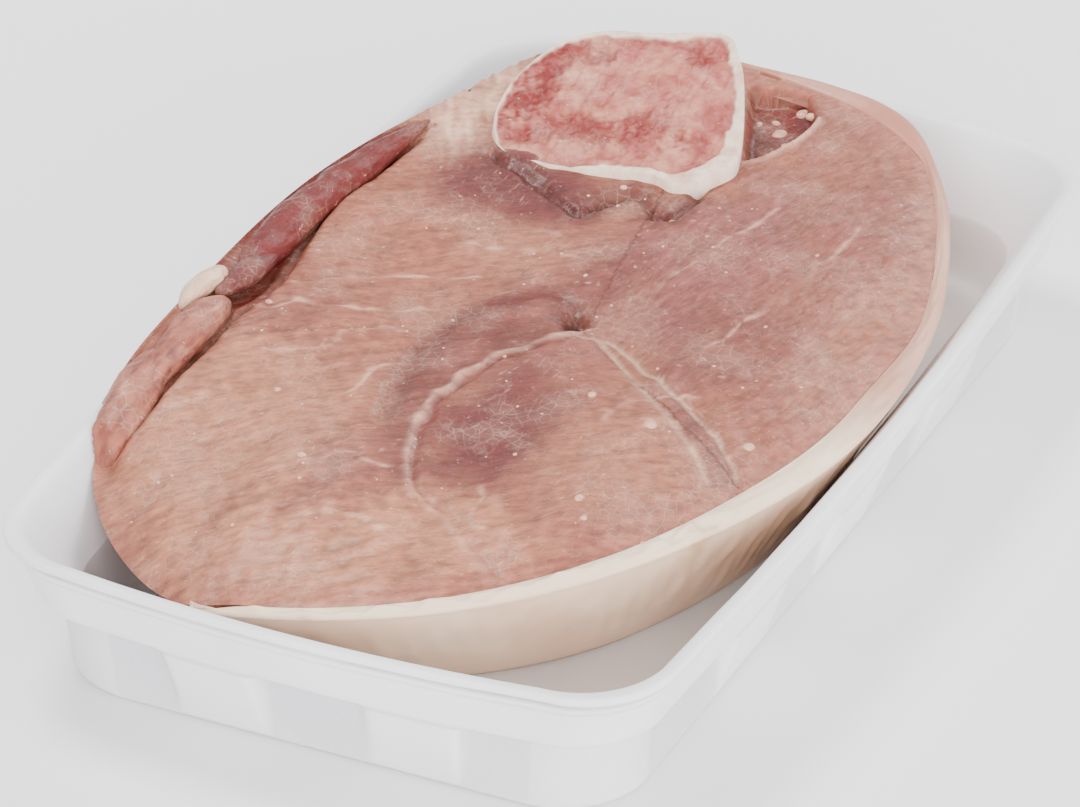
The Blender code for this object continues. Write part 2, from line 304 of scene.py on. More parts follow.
# Tray surface: at each level a rounded rectangle drawn in by the inset, its sides bowed out by
# 1 less the share squared.
def trayRings(levels):
    marks = trayAround()
    turn, corner, value = marks[:, 0].astype(int), marks[:, 1] > 0, marks[:, 2]
    longSide = turn % 2 == 0
    reach = np.where(longSide, traySet["halfY"], traySet["halfX"]) - traySet["cornerR"]
    along = np.abs(value * reach)
    flush = np.zeros(len(marks))
    for wedges, which in ((traySet["wedgesLong"], longSide), (traySet["wedgesShort"], ~longSide)):
        for middle, half in wedges:
            edge = smooth((half + traySet["flank"] / 2 - np.abs(along - middle)) / traySet["flank"])
            flush = np.where(which & ~corner, np.maximum(flush, edge), flush)
    rings = []
    for z, inset, recess in levels:
        bow = traySet["bow"] * z / traySet["rimZ"]
        deep = inset + recess * (1 - flush)
        radius = traySet["cornerR"] - 0.15 * deep
        hx, hy = traySet["halfX"] - deep, traySet["halfY"] - deep
        turnAngle = (turn + value) * math.pi / 2
        sx = np.array([1, -1, -1, 1])[turn]
        sy = np.array([1, 1, -1, -1])[turn]
        cx = sx * (hx - radius) + radius * np.cos(turnAngle)
        cy = sy * (hy - radius) + radius * np.sin(turnAngle)
        side = np.array([1, -1, -1, 1])[turn]
        longX, longY = side * (hx + bow * (1 - value ** 2)), side * value * (hy - radius)
        shortX, shortY = side * value * (hx - radius), -side * (hy + bow * (1 - value ** 2))
        x = np.where(corner, cx, np.where(longSide, longX, shortX))
        y = np.where(corner, cy, np.where(longSide, longY, shortY))
        rings.append(np.stack([x, y, np.full(len(x), float(z))], -1))
    return np.array(rings)


# Weight of the painted shade on the sunk panels, for each mark round the tray: 1 on the panels between the
# wedges, 0 on the wedges, 0.55 on the corners.
def trayPanels():
    marks = trayAround()
    longSide = marks[:, 0].astype(int) % 2 == 0
    reach = np.where(longSide, traySet["halfY"], traySet["halfX"]) - traySet["cornerR"]
    along = np.abs(marks[:, 2] * reach)
    flush = np.zeros(len(marks))
    for wedges, which in ((traySet["wedgesLong"], longSide), (traySet["wedgesShort"], ~longSide)):
        for middle, half in wedges:
            flush = np.where(which, np.maximum(flush,
                    smooth((half + 1.0 - np.abs(along - middle)) / 1.2)), flush)
    return np.where(marks[:, 1] > 0, 1.0, 1 - flush) * np.where(marks[:, 1] > 0, 0.55, 1.0)


# The path with each corner replaced by a short parabola that starts and ends up to cut away from it.
def roundedPath(points, cut, steps):
    p = np.asarray(points, float)
    made = [p[:1]]
    for a, b, c in zip(p, p[1:], p[2:]):
        before, after = np.linalg.norm((b - a)[:2]), np.linalg.norm((c - b)[:2])
        start = b + (a - b) * min(cut, before * 0.45) / before
        end = b + (c - b) * min(cut, after * 0.45) / after
        t = np.linspace(0, 1, steps)[:, None]
        made.append((1 - t) ** 2 * start + 2 * t * (1 - t) * b + t ** 2 * end)
    made.append(p[-1:])
    return np.concatenate(made)


# Extra points so that no stretch of the path is longer than the step.
def densePath(points, step):
    made = [points[0]]
    for a, b in zip(points, points[1:]):
        n = max(1, int(math.ceil(np.linalg.norm((b - a)[:2]) / step)))
        made += [a + (b - a) * k / n for k in range(1, n + 1)]
    return np.array(made)


# Tray: the rings of its rounded outside and inside profile, closed by the base and the floor drawn to
# the middle.
def buildTray(mat):
    outside = roundedPath(traySet["outside"], 0.7, 4)
    inside = roundedPath(traySet["inside"], 2.2, 5)
    rings = trayRings(densePath(np.concatenate([outside, inside]), 1.6))
    x, y = rings[..., 0], rings[..., 1]
    soft = 0.10 * waves(x, y, 30, 5) * smooth((rings[..., 2] - 2) / 10)
    rings[..., 2] += soft * (rings[..., 2] < 30)
    caps = [0.0, 0.06, 0.2, 0.4, 0.6, 0.8, 0.93]
    base = np.array([rings[0] * (s, s, 1) for s in caps])
    floor = np.array([rings[-1] * (s, s, 1) for s in caps[::-1]])
    floor[..., 2] += 0.25 * waves(floor[..., 0], floor[..., 1], 40,
            8) * smooth((1 - np.array(caps[::-1]))[:, None] * 8)
    p = np.concatenate([base, rings, floor])
    z, row = p[..., 2], np.arange(len(p))[:, None]
    out = row < len(base) + int(np.argmax(rings[:, 0, 2] >= 30.9))
    # Painted shade on the outside: grey on the sunk panels, strongest just under the ledge, and grey bands
    # along the ledge at 16.6 mm and the small step at 26.1 mm.
    deep = trayPanels()[None] * smooth((z - 0.6) / 1.2) * smooth((17.2 - z) / 0.8) * (0.55
            + 0.45 * np.clip(z / 16, 0, 1))
    paintedShade = 0.8 * deep + 0.35 * bell(z - 26.1, 0.4) + 0.6 * bell(z - 16.6, 0.6)
    tone = mix(linear(trayLook["light"]), linear(trayLook["panel"]), np.clip(paintedShade, 0, 1) * out)
    # Painted shadow: a dark band just under the lip's overhang, at 28.8 mm.
    tone = mix(tone, linear(trayLook["line"]), 0.8 * bell(z - 28.8, 0.55) * out)
    # Painted reflection and shade from the meat: a pink tint on the inner walls, between about 6 mm and 28
    # mm up.
    reflectedPink = (~out) * smooth((z - 6) / 8) * smooth((28 - z) / 8) * 0.35
    tone = mix(tone, linear(trayLook["meatReflection"]), reflectedPink)
    return gridPiece("trayFoam", p, mat, closeU=True, fields={"tone": tone})


sliceSet = {
    "centre": (-2.0, -3.0), "footZ": 3.8, "footShare": (0.77, 0.80), "footShift": (-1.5, 1.0),
    "faceZ": 37.6, "faceRise": 0.022, "faceDome": 5.0, "wallGap": 0.8,
    # upper edge, anticlockwise from the right: plan position, height and width of fat there
    "edge": (
        (65.2, -6.0, 32.5, 6.0), (63.0, 28.0, 33.0, 6.5), (54.5, 57.0, 33.5, 6.0), (42.5, 81.5, 35.0, 5.5),
        (25.5, 99.0, 37.5, 6.0), (-4.0, 100.5, 39.5, 3.2), (-38.0, 91.5, 41.0, 0.0),
        (-53.0, 55.0, 41.5, 0.0),
        (-62.5, 22.0, 40.5, 0.0), (-65.5, -14.0, 38.5, 0.0), (-66.0, -52.0, 34.0, 0.0),
        (-57.5, -77.0, 25.0, 0.0),
        (-34.0, -99.0, 24.0, 2.6), (-9.0, -104.0, 28.5, 3.0), (20.0, -92.5, 31.0, 4.0),
        (43.5, -69.5, 32.5, 5.0),
        (59.0, -37.0, 32.5, 6.0)),
}
cx0, cy0 = sliceSet["centre"]
edgeLine = smoothPath(sliceSet["edge"], 1440, closed=True)
edgeAngle = np.arctan2(edgeLine[:, 1] - cy0, edgeLine[:, 0] - cx0) % math.tau
edgeOrder = np.argsort(edgeAngle)
edgeAngle = edgeAngle[edgeOrder]
edgeReach = np.hypot(edgeLine[:, 0] - cx0, edgeLine[:, 1] - cy0)[edgeOrder]
edgeHigh = edgeLine[edgeOrder, 2]
edgeFat = np.maximum(edgeLine[edgeOrder, 3], 0)
edgeX, edgeY = edgeLine[edgeOrder, 0], edgeLine[edgeOrder, 1]
edgeFat *= 1 - 0.5 * smooth(edgeY / 35) * smooth((100 - edgeY) / 15)  # thin up the right side
edgeFat *= np.where(edgeY < -80, smooth((edgeX + 28) / 12), 1)  # starts part way along the front


# Reach, height and fat width of the upper edge in a plan direction.
def edgeAt(angle):
    return [np.interp(angle, edgeAngle, v, period=math.tau) for v in (edgeReach, edgeHigh, edgeFat)]


# Reach of the tray's inner wall from the slice's centre, by plan direction and height.
def wallTable():
    inside = np.array(traySet["inside"])[::-1]
    heights = np.linspace(3.4, 31.0, 24)
    insets = np.interp(heights, inside[:, 0], inside[:, 1])
    angles = np.linspace(0, math.tau, 1440, endpoint=False)
    table = []
    for ring in trayRings([(z, i, 0.0) for z, i in zip(heights, insets)]):
        a = np.arctan2(ring[:, 1] - cy0, ring[:, 0] - cx0) % math.tau
        order = np.argsort(a)
        far = np.hypot(ring[:, 0] - cx0, ring[:, 1] - cy0)
        table.append(np.interp(angles, a[order], far[order], period=math.tau))
    return np.array(table)


wallReach = wallTable()


# Reach of the inner wall, between the table's rows and columns; none above the rim.
def wallAt(angle, z):
    col = (angle % math.tau) / math.tau * 1440
    c = col.astype(int) % 1440
    fc = col - np.floor(col)
    row = np.clip((z - 3.4) / (31.0 - 3.4) * 23, 0, 22.999)
    r = row.astype(int)
    fr = row - r
    low = wallReach[r, c] * (1 - fc) + wallReach[r, (c + 1) % 1440] * fc
    high = wallReach[r + 1, c] * (1 - fc) + wallReach[r + 1, (c + 1) % 1440] * fc
    return np.where(z > 31.4, 1e6, low * (1 - fr) + high * fr)


# The slanting side, share 0 at the foot and 1 at the upper edge, kept inside the tray's wall.
def sideAt(angle, share, bulge=0.0):
    reach, top, _ = edgeAt(angle)
    xTop, yTop = cx0 + reach * np.cos(angle), cy0 + reach * np.sin(angle)
    xFoot = xTop * sliceSet["footShare"][0] + sliceSet["footShift"][0]
    yFoot = yTop * sliceSet["footShare"][1] + sliceSet["footShift"][1]
    z = sliceSet["footZ"] + (top - sliceSet["footZ"]) * share
    x, y = xFoot + (xTop - xFoot) * share, yFoot + (yTop - yFoot) * share
    turn, far = np.arctan2(y - cy0, x - cx0), np.hypot(x - cx0, y - cy0) + bulge
    far = np.minimum(far, wallAt(turn, z) - sliceSet["wallGap"])
    return np.stack([cx0 + far * np.cos(turn), cy0 + far * np.sin(turn), z + 0 * x], -1)


# Points moved towards the slice's centre line by the width.
def inward(p, width):
    dx, dy = p[..., 0] - cx0, p[..., 1] - cy0
    keep = 1 - width / np.hypot(dx, dy)
    return np.stack([cx0 + dx * keep, cy0 + dy * keep, p[..., 2]], -1)


leanSet = {
    "grid": 292,
    "crease": ((-50.5, 52.0), (-53.0, 38.0), (-55.6, 24.0), (-56.6, 12.0), (-54.6, -2.0), (-53.6, -14.0),
               (-56.0, -26.0), (-56.8, -40.0), (-58.0, -55.0), (-59.0, -66.0), (-56.0, -76.0)),
    "arc": ((7.2, -5.0), (-0.5, -17.0), (-4.9, -24.7), (-7.0, -33.2), (-6.7, -44.2), (-4.5, -54.0),
            (-0.9, -61.1), (3.4, -64.9), (9.2, -68.8), (15.3, -73.2), (20.5, -78.0), (25.2, -80.7),
            (28.9, -81.2)),
    "seam": ((7.6, -6.0), (14.0, -6.6), (23.7, -12.4), (32.5, -18.5), (41.1, -24.4), (47.2, -30.0),
             (50.8, -35.1)),
    "seamTwo": ((10.7, -6.1), (23.9, -17.2), (36.4, -27.3), (42.9, -33.7), (46.9, -38.2)),
    "redArc": ((-14.2, -47.3), (-18.3, -30.7), (-16.8, -12.8), (-8.8, 0.6), (-2.0, 3.7), (4.0, -1.5)),
    "hollow": (3.9, -2.3),
    "boneCrease": ((-37.0, 47.0), (-26.1, 41.8), (-17.5, 36.8), (-12.1, 34.3), (-11.0, 40.0), (-5.0, 45.5),
                   (2.0, 39.2), (5.4, 44.0), (5.0, 52.0)),
    # soft areas of one tone: plan middle, half sizes, tone, strength
    "zones": (
        (-40.0, -58.0, 24.0, 30.0, "light", 0.75), (-12.0, -88.0, 26.0, 14.0, "light", 0.9),
        (-44.0, 10.0, 16.0, 24.0, "tan", 0.8), (-30.0, -22.0, 12.0, 12.0, "tan", 0.5),
        (-26.0, 38.0, 19.0, 12.0, "mauve", 1.0), (-50.0, 34.0, 8.0, 20.0, "tan", 0.7),
        (34.0, 44.0, 16.0, 28.0, "pink", 0.6), (-14.0, 16.0, 14.0, 9.0, "light", 0.45),
        (18.0, 28.0, 14.0, 34.0, "rosy", 0.9), (30.0, 2.0, 12.0, 18.0, "mauve", 0.45),
        (6.0, -42.0, 12.0, 20.0, "mauve", 1.0), (-12.0, -10.0, 7.0, 9.0, "deep", 0.5),
        (30.0, -42.0, 14.0, 20.0, "light", 0.5),
        (12.0, -72.0, 18.0, 10.0, "light", 0.85), (-13.0, -22.0, 7.0, 22.0, "deep", 0.45),
        (2.0, 14.0, 8.0, 14.0, "mauve", 0.55), (52.0, 20.0, 5.0, 36.0, "light", 0.25),
    ),
    "recess": ((-2.5, 92.0), (8.4, 64.5), (12.1, 71.4), (14.5, 77.9), (14.6, 86.0), (9.0, 95.0)),
    "membraneRight": ((8.4, 64.5), (12.1, 71.4), (14.5, 77.9), (14.9, 86.0)),
    "creamAt": (-46.0, 64.0, 8.0, 19.0),
    "veins": (
        ((-52.0, -22.0), (-42.0, -16.0), (-30.0, -12.0), (-20.0, -6.0), (-12.0, 2.0)),
        ((-50.0, -12.0), (-38.0, -4.0), (-24.0, 4.0), (-10.0, 8.0)),
        ((-44.0, -34.0), (-36.0, -30.0), (-32.0, -22.0), (-24.0, -18.0)),
        ((-30.0, -46.0), (-24.0, -40.0), (-22.0, -30.0), (-16.0, -26.0)),
        ((-20.0, -66.0), (-14.0, -60.0), (-8.0, -62.0), (-2.0, -58.0)),
        ((-16.0, -80.0), (-8.0, -76.0), (0.0, -78.0)),
        ((12.0, -60.0), (14.0, -68.0), (18.0, -70.0)),
        ((22.0, -30.0), (26.0, -22.0), (36.0, -16.0)),
        ((12.0, 10.0), (16.0, 30.0), (22.0, 52.0)), ((30.0, 0.0), (35.0, 26.0), (39.0, 60.0)),
        ((-30.0, 20.0), (-18.0, 24.0), (-6.0, 26.0)), ((-28.0, 14.0), (-14.0, 18.0), (0.0, 20.0)),
    ),
    "specks": ((31.0, -28.4, 0.9), (29.5, -55.3, 0.6), (32.3, -60.1, 0.5), (48.7, -24.4, 0.8),
               (17.4, -24.0, 0.6)),
}
leanLook = {
    "streakScale": 900, "stretch": (0.3, 1.0, 1.0), "blotchScale": 75, "speckScale": 900, "cellScale": 520,
    "dark": (186, 142, 132), "darkShare": 0.55, "pale": (206, 160, 138), "paleShare": 0.22,
    "thread": (224, 186, 166), "threadShare": 0.22, "speckShare": 0.6, "roughLow": 0.30, "roughHigh": 0.5,
    "under": 0.04, "coat": 0.10, "coatRough": 0.14, "specular": 0.22,
    "bumpStreak": 0.75, "bumpCell": 0.4, "bumpSpeck": 0.45,
}
leanTones = {
    "light": (180, 119, 90), "tan": (156, 95, 74), "pink": (138, 79, 67), "rosy": (136, 78, 70),
    "mauve": (102, 46, 44), "deep": (88, 33, 31), "dark": (64, 22, 20), "fat": (234, 205, 172),
    "membrane": (220, 170, 148), "red": (108, 36, 34), "flap": (170, 104, 84), "flapRed": (114, 54, 50),
    "cream": (222, 180, 154),
}


# Square grid laid on a disc: rings of the square become rings of the disc. Gives plan angle and share
# out.
def discGrid(n):
    a, b = np.meshgrid(np.linspace(-1, 1, n), np.linspace(-1, 1, n))
    ring = np.maximum(np.abs(a), np.abs(b))
    wide = np.abs(a) >= np.abs(b)
    with np.errstate(divide="ignore", invalid="ignore"):
        angle = np.where(wide, math.pi / 4 * b / a, math.pi / 2 - math.pi / 4 * a / b)
    angle = np.where(ring == 0, 0, angle) + np.where(np.where(wide, a, b) < 0, math.pi, 0)
    return angle % math.tau, ring


# Cut face: height over the plan = a near-flat sheet that rolls over at its edge, plus grooves,
# swellings and grain.
def buildLean(mat):
    angle, share = discGrid(leanSet["grid"])
    _, edgeZ, fat = edgeAt(angle)
    rim = inward(sideAt(angle, 1.0), np.where(fat > 0.05, fat + 0.1, 0.0))
    x = cx0 + (rim[..., 0] - cx0) * share
    y = cy0 + (rim[..., 1] - cy0) * share
    flat = sliceSet["faceZ"] + sliceSet["faceRise"] * y
    z = flat + (edgeZ - flat) * share ** sliceSet["faceDome"]
    inner = smooth((1 - share) * 12)

    dCrease, tCrease, sCrease = pathField(x, y, smoothPath(leanSet["crease"], 60))
    shiftX, shiftY = 0.5 * waves(x, y, 11, 14), 0.5 * waves(x, y, 11, 16)
    dArc, tArc, sArc = pathField(x + shiftX, y + shiftY, smoothPath(leanSet["arc"], 70))
    dSeam, tSeam, sSeam = pathField(x + shiftX, y + shiftY, smoothPath(leanSet["seam"], 40))
    dTwo, _, _ = pathField(x, y, smoothPath(leanSet["seamTwo"], 30))
    dRed, tRed, sRed = pathField(x + 2 * shiftX, y + 2 * shiftY, smoothPath(leanSet["redArc"], 40))
    dBone, _, _ = pathField(x + shiftX, y + shiftY, smoothPath(leanSet["boneCrease"], 50))
    dHollow = np.hypot(x - leanSet["hollow"][0], y - leanSet["hollow"][1])

    ends = smooth(tCrease * 8) * smooth((1 - tCrease) * 8)
    outside = (sCrease < 0) & (x < -40)
    flap = np.where(outside, smooth(dCrease / 3.0), 0) * ends
    creaseCut = bell(dCrease, 1.5) * ends
    rag = waves(x, y, 9, 11)
    broad = waves(x, y, 34, 3)
    mid = waves(x, y, 11, 4)
    small = waves(x, y, 3.4, 6)
    alongL = x * 0.84 + y * 0.54
    acrossL = -x * 0.54 + y * 0.84 + 1.2 * waves(x, y, 45, 21)
    alongR = x * 0.30 + y * 0.95
    acrossR = -x * 0.95 + y * 0.30 + 1.2 * waves(x, y, 45, 22)
    aboveSeam = smooth((y + 6 + 0.67 * (x - 7.6)) / 3 + 0.5)
    rightOf = smooth((x - 2 + 0.15 * y) / 8) * aboveSeam
    along = np.where(rightOf > 0.5, alongR, alongL)
    across = np.where(rightOf > 0.5, acrossR, acrossL)
    fibre = waves(across, along * 0.12, 2.2, 31) * 0.5 + waves(across, along * 0.1, 4.5, 32) * 0.5

    z = z + inner * (0.45 * broad + 0.20 * mid + 0.08 * small + 0.07 * fibre)
    z = z - 3.0 * creaseCut - 3.4 * flap * smooth((1 - share) * 30)
    fading = smooth(tArc * 6) * (1 - 0.6 * smooth((tArc - 0.5) * 5)) * smooth((1 - tArc) * 8)
    z = z - 0.9 * bell(dArc, 0.8) * fading
    z = z + 0.35 * bell(np.abs(dArc * sArc + 1.4), 0.8) * (tArc < 0.6)
    z = z - 0.8 * bell(dSeam, 0.9) - 0.5 * bell(dTwo, 0.8) - 0.7 * bell(dRed, 1.6)
    z = z - 3.2 * bell(dHollow, 2.6) - 1.8 * bell(dBone, 1.3)
    eyeDark = smooth(1.25 - np.hypot((x - 8) / 17, (y + 42) / 20))
    z = z - 0.6 * eyeDark * inner

    t = {key: linear(value) for key, value in leanTones.items()}
    deep, dark, fatTone = t["deep"], t["dark"], t["fat"]
    tone = mix(t["tan"], t["pink"], 0.5 + 0.3 * broad + 0.3 * mid)
    for zx, zy, rx, ry, key, strength in leanSet["zones"]:
        near = 1.45 - np.hypot((x - zx) / rx, (y - zy) / ry) + 0.16 * mid + 0.08 * small
        tone = mix(tone, t[key], strength * smooth(near))
    hole = leanSet["recess"]
    inHole = np.ones(x.shape)
    for (ax, ay), (bx, by) in zip(hole, hole[1:] + hole[:1]):
        reachTo = ((x - ax) * (ay - by) + (y - ay) * (bx - ax)) / math.hypot(bx - ax, by - ay)
        inHole = inHole * smooth(reachTo / 2.0 + 0.3)
    z = z - 3.6 * inHole + 0.5 * inHole * mid
    dLine = pathField(x, y, smoothPath(leanSet["membraneRight"], 20))[0]
    z = z + 0.7 * bell(dLine, 0.8)
    mx, my, rx, ry = leanSet["creamAt"]
    creamy = smooth(1.5 - np.hypot((x - mx) / rx, (y - my) / ry) + 0.14 * mid)
    pulled = waves(x + 0.45 * y, (y - 0.3 * x) * 0.25, 3.0, 33)
    z = z + 0.30 * creamy * pulled
    redZone = np.where((sRed < 0) & (x > -22) & (y > -62), smooth(dRed / 2.5), 0) * np.where(sArc < 0, 1, 0)
    redZone = redZone * smooth((18 - dArc) / 6)
    tone = mix(tone, mix(deep, t["pink"], 0.5 + 0.5 * mid), 0.6 * redZone)
    tone = mix(tone, deep, 0.7 * bell(dRed, 2.2) * smooth(tRed * 4))
    membrane = bell(np.abs(dArc * sArc + 1.1), np.clip(0.7 + 0.35 * rag, 0.2, 1.3))
    membrane = membrane * (0.85 - 0.5 * smooth((tArc - 0.4) * 6))
    tone = mix(tone, t["membrane"], membrane * np.clip(0.8 + 0.25 * small, 0, 1))
    tone = mix(tone, t["red"], 0.7 * bell(dArc + 0.4, 0.9) * (1 - smooth((tArc - 0.45) * 6)))
    shade = bell(dArc, 4.0) * np.where(sArc < 0, 1, 0.3) * (1 - smooth((tArc - 0.4) * 4))
    tone = mix(tone, t["deep"], 0.35 * shade)
    tone = mix(tone, fatTone, 0.45 * bell(dSeam, 0.55) + 0.35 * bell(dTwo, 0.5))
    strip = smooth((5.5 - dSeam) / 2) * np.where(sSeam < 0, 1, 0) * smooth((tSeam - 0.35) * 4)
    tone = mix(tone, t["mauve"], 0.7 * strip)
    # Painted shade in the hollow at the seam's end.
    tone = mix(tone, dark, 0.8 * bell(dHollow, 2.4))
    for sx, sy, size in leanSet["specks"]:
        near = 1.4 - np.hypot(x - sx, (y - sy) / 1.3) / size + 0.25 * small
        tone = mix(tone, fatTone, 0.8 * smooth(near))
    # Painted shade: dark along the crease at the bone's edge and darker on the meat just in front of the
    # raised bone.
    tone = mix(tone, dark, 0.75 * bell(dBone, 0.9))
    boneShade = smooth((6.0 - dBone) / 4) * (y < 50)
    tone = mix(tone, deep, 0.6 * boneShade)
    redFlap = flap * smooth((y + 22) / 4)
    tone = mix(tone, t["red"], 0.9 * redFlap * (0.85 + 0.15 * mid))
    tone = mix(tone, t["flap"], 0.8 * flap * (1 - smooth((y + 22) / 4)))
    tone = mix(tone, mix(t["red"], t["deep"], 0.5 + 0.5 * mid), 0.95 * inHole)
    tone = mix(tone, t["membrane"], 0.9 * bell(dLine, 0.8))
    tone = mix(tone, mix(t["cream"], t["flap"], 0.35 + 0.3 * pulled), 0.95 * creamy)
    # Painted shade in the crease between the main face and the flap.
    tone = mix(tone, dark, 0.6 * creaseCut)
    veins = np.zeros(x.shape)
    for points in leanSet["veins"]:
        dVein = pathField(x + 1.4 * shiftX, y + 1.4 * shiftY, smoothPath(points, 24))[0]
        thread = bell(dVein, np.clip(0.38 + 0.25 * small, 0.12, 0.9)) * np.clip(0.55 + 0.5 * mid, 0, 1)
        veins = np.maximum(veins, thread)
    tone = mix(tone, t["membrane"], 0.6 * veins)
    net = np.abs(waves(x, y, 9, 35, 20)) + 0.35 * np.abs(waves(x, y, 3, 36, 20))
    tone = mix(tone, t["membrane"], 0.35 * smooth((0.16 - net) / 0.12) * smooth(0.5 + broad))
    thin = smooth((share - 0.93) * 20) * np.where(fat > 0.5, 1, 0)
    tone = mix(tone, t["flap"], 0.5 * thin)
    tiny = waves(x, y, 1.5, 7, 24)
    grainy = 1 + 0.10 * small + 0.09 * fibre + 0.07 * mid + 0.07 * tiny
    tone = np.clip(tone * grainy[..., None], 0, 1)

    uv = np.stack([along, across], -1) * mm
    face = gridPiece("cutFace", np.stack([x, y, z], -1), mat, fields={"tone": tone}, uv=uv)

    turn = np.linspace(0, math.tau, 720, endpoint=False)[None]
    _, _, fatTurn = edgeAt(turn)
    width = np.where(fatTurn > 0.05, fatTurn + 0.1, 0.0)
    levels = np.linspace(0, 1, 26)[:, None]
    ruffle = 0.5 * waves(turn * 60, levels * 30, 16, 41) * np.sin(levels * math.pi)
    side = inward(sideAt(turn + 0 * levels, levels + 0 * turn, 0.0), width + 0.25 - 0.25 * ruffle)
    side[..., 2] -= 0.25 * levels
    middle = np.array((cx0, cy0, sliceSet["footZ"]))
    foot = np.stack([middle + (side[0] - middle) * s for s in (0.0, 0.3, 0.6, 0.85, 0.97)])
    tuck = np.stack([inward(side[-1], w) - (0, 0, d) for w, d in ((1.5, 0.5), (4.0, 1.2))])
    body = np.concatenate([foot, side, tuck])
    bx, by = body[..., 0], body[..., 1]
    sideTone = mix(t["tan"], t["pink"], 0.5 + 0.4 * waves(bx, by + body[..., 2] * 2, 14, 51))
    redSide = smooth((by + 22) / 4) * (bx < -35)
    sideTone = mix(sideTone, t["red"], 0.8 * redSide)
    around = np.broadcast_to(turn * 60, bx.shape)
    up = np.broadcast_to(body[..., 2], bx.shape)
    sidePiece = gridPiece("leanSide", body, mat, closeU=True, fields={"tone": sideTone},
                          uv=np.stack([around, up], -1) * mm)
    return face, sidePiece


fatSet = {
    "steps": 620, "stains": ((20.0, -92.0, 14.0, 2.2), (52.0, -52.0, 24.0, 2.6)),
    "seam": (-2.0, -103.0), "wrinkle": (330.0,), "notch": 34.0,
}
# The foot colour is painted shade low on the rind; the others are the fat's and rind's own colours.
fatTones = {
    "peach": (244, 214, 188), "shade": (232, 196, 168), "foot": (222, 178, 150),
    "white": (238, 216, 188), "pink": (176, 108, 88), "stain": (170, 138, 84),
}
fatLook = {
    "streakScale": 120, "stretch": (0.3, 1.0, 1.0), "blotchScale": 45, "speckScale": 600, "cellScale": 160,
    "dark": (238, 226, 214), "darkShare": 0.35, "pale": (240, 226, 206), "paleShare": 0.3,
    "thread": (240, 228, 212), "threadShare": 0.05, "speckShare": 0.1, "roughLow": 0.36,
    "roughHigh": 0.52, "under": 0.06, "coat": 0.06, "coatRough": 0.25, "specular": 0.3,
    "bumpStreak": 0.15, "bumpCell": 0.05, "bumpSpeck": 0.12,
}


